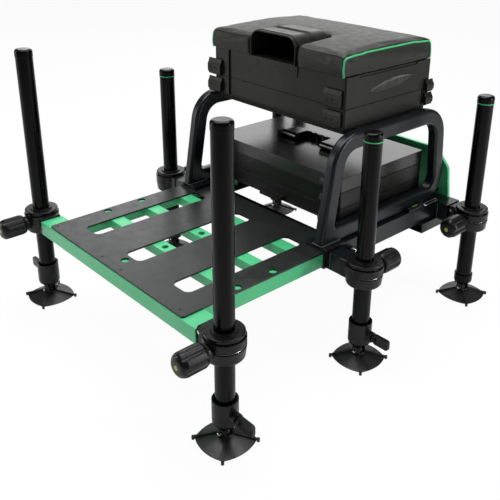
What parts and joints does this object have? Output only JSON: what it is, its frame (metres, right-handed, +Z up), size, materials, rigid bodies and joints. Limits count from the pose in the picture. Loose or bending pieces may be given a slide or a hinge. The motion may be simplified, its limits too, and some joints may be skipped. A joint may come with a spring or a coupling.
{
  "type": "fishing seat box",
  "caption": "Tackle seat box on adjustable legs with sliding slotted footplate, hoop frame, cushioned hinged seat case, lower case with drawer and fold-down handle.",
  "frame": {"origin": "on the ground at the centre of the part's outline", "axes": "+X to the right seen from the front, where the footplate is; +Y from the footplate to the back; +Z up"},
  "size_m": [0.7986, 0.894, 0.626],
  "materials": {
    "dark_frame": "satin dark grey powder coat",
    "green_frame": "bright green anodised",
    "black_plate": "satin black",
    "leg_tube": "satin black anodised",
    "moulded_black": "matt moulded",
    "case_black": "fine texture",
    "cushion_black": "grained black cover",
    "foot_rubber": "matt",
    "steel": "bright",
    "vial_green": "clear green"
  },
  "bodies": {
    "chassis": {"chassis_rail_left": "dark_frame", "chassis_rail_right": "dark_frame", "rear_cross_tube": "dark_frame", "front_cross_tube": "dark_frame", "hoop_left": "dark_frame", "hoop_right": "dark_frame", "rear_panel": "green_frame", "chassis_clamps": "moulded_black", "level_housing": "moulded_black", "level_vial": "vial_green", "seat_base": "case_black", "seat_tray": "case_black", "lower_base": "case_black", "lower_tray": "case_black"},
    "footplate": {"footplate_frame": "green_frame", "footplate_plate": "black_plate", "footplate_clamps": "moulded_black"},
    "seat_lid": {"seat_lid": "case_black", "seat_cushion": "cushion_black", "seat_pocket": "case_black"},
    "lower_lid": {"lower_lid": "case_black"},
    "carry_handle": {"carry_handle": "case_black"},
    "lower_drawer": {"lower_drawer": "case_black"},
    "pull_pin_left": {"pull_pin_left": "steel"},
    "pull_pin_right": {"pull_pin_right": "steel"},
    "leg_front_left": {"leg_front_left": "leg_tube"},
    "sleeve_front_left": {"sleeve_front_left": "moulded_black"},
    "wing_knob_front_left": {"wing_knob_front_left": "moulded_black"},
    "foot_front_left": {"foot_front_left": "foot_rubber"},
    "clamp_knob_front_left": {"clamp_knob_front_left": "moulded_black"},
    "leg_front_right": {"leg_front_right": "leg_tube"},
    "sleeve_front_right": {"sleeve_front_right": "moulded_black"},
    "wing_knob_front_right": {"wing_knob_front_right": "moulded_black"},
    "foot_front_right": {"foot_front_right": "foot_rubber"},
    "clamp_knob_front_right": {"clamp_knob_front_right": "moulded_black"},
    "leg_middle_left": {"leg_middle_left": "leg_tube"},
    "sleeve_middle_left": {"sleeve_middle_left": "moulded_black"},
    "wing_knob_middle_left": {"wing_knob_middle_left": "moulded_black"},
    "foot_middle_left": {"foot_middle_left": "foot_rubber"},
    "clamp_knob_middle_left": {"clamp_knob_middle_left": "moulded_black"},
    "leg_middle_right": {"leg_middle_right": "leg_tube"},
    "sleeve_middle_right": {"sleeve_middle_right": "moulded_black"},
    "wing_knob_middle_right": {"wing_knob_middle_right": "moulded_black"},
    "foot_middle_right": {"foot_middle_right": "foot_rubber"},
    "clamp_knob_middle_right": {"clamp_knob_middle_right": "moulded_black"},
    "leg_rear_left": {"leg_rear_left": "leg_tube"},
    "foot_rear_left": {"foot_rear_left": "foot_rubber"},
    "clamp_knob_rear_left": {"clamp_knob_rear_left": "moulded_black"},
    "leg_rear_right": {"leg_rear_right": "leg_tube"},
    "foot_rear_right": {"foot_rear_right": "foot_rubber"},
    "clamp_knob_rear_right": {"clamp_knob_rear_right": "moulded_black"},
    "seat_lid_latches": {"seat_lid_latches": "case_black"},
    "seat_tray_latches": {"seat_tray_latches": "case_black"},
    "case_lid_latches": {"case_lid_latches": "case_black"},
    "case_tray_latches": {"case_tray_latches": "case_black"},
    "case_base_latches": {"case_base_latches": "case_black"},
    "side_latch_left_upper": {"side_latch_left_upper": "case_black"},
    "side_latch_left_lower": {"side_latch_left_lower": "case_black"},
    "side_latch_right_upper": {"side_latch_right_upper": "case_black"},
    "side_latch_right_lower": {"side_latch_right_lower": "case_black"}
  },
  "joints": [
    {"name": "footplate_slide", "type": "slide", "parent": "chassis", "child": "footplate", "axis": [0, 1, 0], "range_m": [0, 0.2]},
    {"name": "leg_slide_front_left", "type": "slide", "parent": "footplate", "child": "leg_front_left", "axis": [0, 0, 1], "range_m": [-0.34, 0.085]},
    {"name": "sleeve_slide_front_left", "type": "slide", "parent": "leg_front_left", "child": "sleeve_front_left", "axis": [0, 0, -1], "range_m": [0, 0.03]},
    {"name": "wing_turn_front_left", "type": "hinge", "parent": "sleeve_front_left", "child": "wing_knob_front_left", "pos_m": [-0.375, -0.347, 0.066], "axis": [-1, 0, 0], "continuous": true},
    {"name": "foot_tilt_front_left", "type": "hinge", "parent": "sleeve_front_left", "child": "foot_front_left", "pos_m": [-0.325, -0.347, 0.021], "axis": [0, 1, 0], "range_deg": [-25, 25]},
    {"name": "clamp_turn_front_left", "type": "hinge", "parent": "footplate", "child": "clamp_knob_front_left", "pos_m": [-0.325, -0.407, 0.204], "axis": [0, -1, 0], "continuous": true},
    {"name": "leg_slide_front_right", "type": "slide", "parent": "footplate", "child": "leg_front_right", "axis": [0, 0, 1], "range_m": [-0.34, 0.085]},
    {"name": "sleeve_slide_front_right", "type": "slide", "parent": "leg_front_right", "child": "sleeve_front_right", "axis": [0, 0, -1], "range_m": [0, 0.03]},
    {"name": "wing_turn_front_right", "type": "hinge", "parent": "sleeve_front_right", "child": "wing_knob_front_right", "pos_m": [0.375, -0.347, 0.066], "axis": [1, 0, 0], "continuous": true},
    {"name": "foot_tilt_front_right", "type": "hinge", "parent": "sleeve_front_right", "child": "foot_front_right", "pos_m": [0.325, -0.347, 0.021], "axis": [0, 1, 0], "range_deg": [-25, 25]},
    {"name": "clamp_turn_front_right", "type": "hinge", "parent": "footplate", "child": "clamp_knob_front_right", "pos_m": [0.325, -0.407, 0.204], "axis": [0, -1, 0], "continuous": true},
    {"name": "leg_slide_middle_left", "type": "slide", "parent": "chassis", "child": "leg_middle_left", "axis": [0, 0, 1], "range_m": [-0.24, 0.085]},
    {"name": "sleeve_slide_middle_left", "type": "slide", "parent": "leg_middle_left", "child": "sleeve_middle_left", "axis": [0, 0, -1], "range_m": [0, 0.03]},
    {"name": "wing_turn_middle_left", "type": "hinge", "parent": "sleeve_middle_left", "child": "wing_knob_middle_left", "pos_m": [-0.375, 0.013, 0.066], "axis": [-1, 0, 0], "continuous": true},
    {"name": "foot_tilt_middle_left", "type": "hinge", "parent": "sleeve_middle_left", "child": "foot_middle_left", "pos_m": [-0.325, 0.013, 0.021], "axis": [0, 1, 0], "range_deg": [-25, 25]},
    {"name": "clamp_turn_middle_left", "type": "hinge", "parent": "chassis", "child": "clamp_knob_middle_left", "pos_m": [-0.325, 0.073, 0.204], "axis": [0, 1, 0], "continuous": true},
    {"name": "leg_slide_middle_right", "type": "slide", "parent": "chassis", "child": "leg_middle_right", "axis": [0, 0, 1], "range_m": [-0.24, 0.085]},
    {"name": "sleeve_slide_middle_right", "type": "slide", "parent": "leg_middle_right", "child": "sleeve_middle_right", "axis": [0, 0, -1], "range_m": [0, 0.03]},
    {"name": "wing_turn_middle_right", "type": "hinge", "parent": "sleeve_middle_right", "child": "wing_knob_middle_right", "pos_m": [0.375, 0.013, 0.066], "axis": [1, 0, 0], "continuous": true},
    {"name": "foot_tilt_middle_right", "type": "hinge", "parent": "sleeve_middle_right", "child": "foot_middle_right", "pos_m": [0.325, 0.013, 0.021], "axis": [0, 1, 0], "range_deg": [-25, 25]},
    {"name": "clamp_turn_middle_right", "type": "hinge", "parent": "chassis", "child": "clamp_knob_middle_right", "pos_m": [0.325, 0.073, 0.204], "axis": [0, 1, 0], "continuous": true},
    {"name": "leg_slide_rear_left", "type": "slide", "parent": "chassis", "child": "leg_rear_left", "axis": [0, 0, 1], "range_m": [-0.24, 0.12]},
    {"name": "foot_tilt_rear_left", "type": "hinge", "parent": "leg_rear_left", "child": "foot_rear_left", "pos_m": [-0.325, 0.398, 0.021], "axis": [0, 1, 0], "range_deg": [-25, 25]},
    {"name": "clamp_turn_rear_left", "type": "hinge", "parent": "chassis", "child": "clamp_knob_rear_left", "pos_m": [-0.325, 0.338, 0.204], "axis": [0, -1, 0], "continuous": true},
    {"name": "leg_slide_rear_right", "type": "slide", "parent": "chassis", "child": "leg_rear_right", "axis": [0, 0, 1], "range_m": [-0.24, 0.12]},
    {"name": "foot_tilt_rear_right", "type": "hinge", "parent": "leg_rear_right", "child": "foot_rear_right", "pos_m": [0.325, 0.398, 0.021], "axis": [0, 1, 0], "range_deg": [-25, 25]},
    {"name": "clamp_turn_rear_right", "type": "hinge", "parent": "chassis", "child": "clamp_knob_rear_right", "pos_m": [0.325, 0.338, 0.204], "axis": [0, -1, 0], "continuous": true},
    {"name": "seat_lid_hinge", "type": "hinge", "parent": "chassis", "child": "seat_lid", "pos_m": [0, 0.3593, 0.498], "axis": [-1, 0, 0], "range_deg": [0, 100]},
    {"name": "lower_lid_hinge", "type": "hinge", "parent": "chassis", "child": "lower_lid", "pos_m": [0, 0.3593, 0.317], "axis": [-1, 0, 0], "range_deg": [0, 15]},
    {"name": "handle_fold", "type": "hinge", "parent": "lower_lid", "child": "carry_handle", "pos_m": [0, 0.186, 0.3565], "axis": [1, 0, 0], "range_deg": [0, 90]},
    {"name": "drawer_slide", "type": "slide", "parent": "chassis", "child": "lower_drawer", "axis": [0, -1, 0], "range_m": [0, 0.2]},
    {"name": "pin_pull_left", "type": "slide", "parent": "chassis", "child": "pull_pin_left", "axis": [-1, 0, 0], "range_m": [0, 0.008], "stiffness_N_per_m": 400},
    {"name": "pin_pull_right", "type": "slide", "parent": "chassis", "child": "pull_pin_right", "axis": [1, 0, 0], "range_m": [0, 0.008], "stiffness_N_per_m": 400},
    {"name": "seat_lid_latch_turn", "type": "hinge", "parent": "chassis", "child": "seat_lid_latches", "pos_m": [0, 0.0642, 0.503], "axis": [1, 0, 0], "range_deg": [0, 100]},
    {"name": "seat_tray_latch_turn", "type": "hinge", "parent": "chassis", "child": "seat_tray_latches", "pos_m": [0, 0.0642, 0.462], "axis": [1, 0, 0], "range_deg": [0, 100]},
    {"name": "case_lid_latch_turn", "type": "hinge", "parent": "chassis", "child": "case_lid_latches", "pos_m": [0, 0.0642, 0.315], "axis": [1, 0, 0], "range_deg": [0, 100]},
    {"name": "case_tray_latch_turn", "type": "hinge", "parent": "chassis", "child": "case_tray_latches", "pos_m": [0, 0.0642, 0.278], "axis": [1, 0, 0], "range_deg": [0, 100]},
    {"name": "case_base_latch_turn", "type": "hinge", "parent": "chassis", "child": "case_base_latches", "pos_m": [0, 0.0642, 0.242], "axis": [1, 0, 0], "range_deg": [0, 90]},
    {"name": "side_latch_left_upper_turn", "type": "hinge", "parent": "chassis", "child": "side_latch_left_upper", "pos_m": [-0.2098, 0.347, 0.495], "axis": [0, -1, 0], "range_deg": [0, 90]},
    {"name": "side_latch_left_lower_turn", "type": "hinge", "parent": "chassis", "child": "side_latch_left_lower", "pos_m": [-0.2098, 0.347, 0.465], "axis": [0, -1, 0], "range_deg": [0, 90]},
    {"name": "side_latch_right_upper_turn", "type": "hinge", "parent": "chassis", "child": "side_latch_right_upper", "pos_m": [0.2098, 0.347, 0.495], "axis": [0, 1, 0], "range_deg": [0, 90]},
    {"name": "side_latch_right_lower_turn", "type": "hinge", "parent": "chassis", "child": "side_latch_right_lower", "pos_m": [0.2098, 0.347, 0.465], "axis": [0, 1, 0], "range_deg": [0, 90]}
  ]
}
